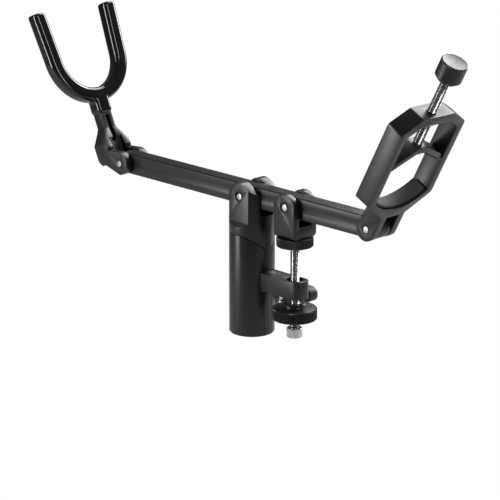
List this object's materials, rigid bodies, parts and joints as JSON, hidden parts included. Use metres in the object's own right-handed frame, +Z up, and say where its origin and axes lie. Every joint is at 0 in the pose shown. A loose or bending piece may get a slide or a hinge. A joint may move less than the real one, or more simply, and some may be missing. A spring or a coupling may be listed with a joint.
{
  "type": "boom pole holder",
  "caption": "Light-stand holder for a boom pole: dipped fork and clamping ring on a tilting cross bar above a stud socket, with a thumb-wheel tilt stop.",
  "frame": {"origin": "centre of the socket's mouth, at the barrel's bottom face", "axes": "+Z up along the socket, +X along the cross bar from the fork towards the clamping ring"},
  "size_m": [0.3541, 0.0795, 0.2078],
  "materials": {
    "powder_coat": "matte black powder coat",
    "black_oxide": "satin black",
    "bright_steel": "bright",
    "brass": "plain",
    "vinyl_dip": "glossy vinyl dip",
    "rubber": "matte",
    "black_plastic": "matte"
  },
  "bodies": {
    "post": {"barrel": "powder_coat", "barrel_bolt": "bright_steel", "head_casting": "powder_coat", "head_pin": "bright_steel", "pressure_pad": "brass"},
    "stand_lock": {"lock_screw": "bright_steel", "lock_handle": "black_plastic"},
    "cross_bar": {"bar": "powder_coat"},
    "link": {"link_clevis": "powder_coat", "link_pin": "bright_steel", "tilt_screw": "bright_steel"},
    "nut": {"lock_nut": "black_oxide"},
    "thread_insert": {"wheel_insert": "brass"},
    "wheel": {"tilt_wheel": "black_oxide"},
    "fork": {"fork_casting": "powder_coat", "fork_coating": "vinyl_dip", "fork_pin": "bright_steel"},
    "ring": {"ring_frame": "powder_coat", "seat_pad": "rubber", "ring_pin": "bright_steel"},
    "clamp_jaw": {"jaw": "powder_coat", "jaw_pad_left": "rubber", "jaw_pad_right": "rubber", "jaw_clip": "bright_steel"},
    "clamp_spindle": {"clamp_screw": "bright_steel", "clamp_knob": "black_oxide"}
  },
  "joints": [
    {"name": "lock_turn", "type": "hinge", "parent": "post", "child": "stand_lock", "pos_m": [0, 0.03, 0.019], "axis": [0, 1, 0], "continuous": true},
    {"name": "bar_tilt", "type": "hinge", "parent": "post", "child": "cross_bar", "pos_m": [0, 0, 0.0924], "axis": [0, 1, 0], "range_deg": [-2, 15]},
    {"name": "link_hinge", "type": "hinge", "parent": "cross_bar", "child": "link", "pos_m": [0.0386, 0, 0.0924], "axis": [0, 1, 0], "range_deg": [-15, 2]},
    {"name": "nut_turn", "type": "hinge", "parent": "link", "child": "nut", "pos_m": [0.0386, 0, 0.0687], "axis": [0, 0, 1], "continuous": true},
    {"name": "wheel_travel", "type": "slide", "parent": "link", "child": "thread_insert", "axis": [0, 0, 1], "range_m": [-0.0054, 0.0019]},
    {"name": "wheel_turn", "type": "hinge", "parent": "thread_insert", "child": "wheel", "pos_m": [0.0386, 0, 0.021], "axis": [0, 0, 1], "continuous": true},
    {"name": "fork_fold", "type": "hinge", "parent": "cross_bar", "child": "fork", "pos_m": [-0.1165, 0, 0.0924], "axis": [0, 1, 0], "range_deg": [-30, 100]},
    {"name": "ring_fold", "type": "hinge", "parent": "cross_bar", "child": "ring", "pos_m": [0.1081, 0, 0.0924], "axis": [0, 1, 0], "range_deg": [-60, 55]},
    {"name": "jaw_travel", "type": "slide", "parent": "ring", "child": "clamp_jaw", "axis": [0.4633, 0, 0.8862], "range_m": [-0.02, 0.016]},
    {"name": "clamp_turn", "type": "hinge", "parent": "clamp_jaw", "child": "clamp_spindle", "pos_m": [0.10885, 0, 0.09201], "axis": [0.4633, 0, 0.8862], "continuous": true}
  ],
  "couplings": [
    {"joint": "link_hinge", "follows": "bar_tilt", "ratio": -1}
  ]
}
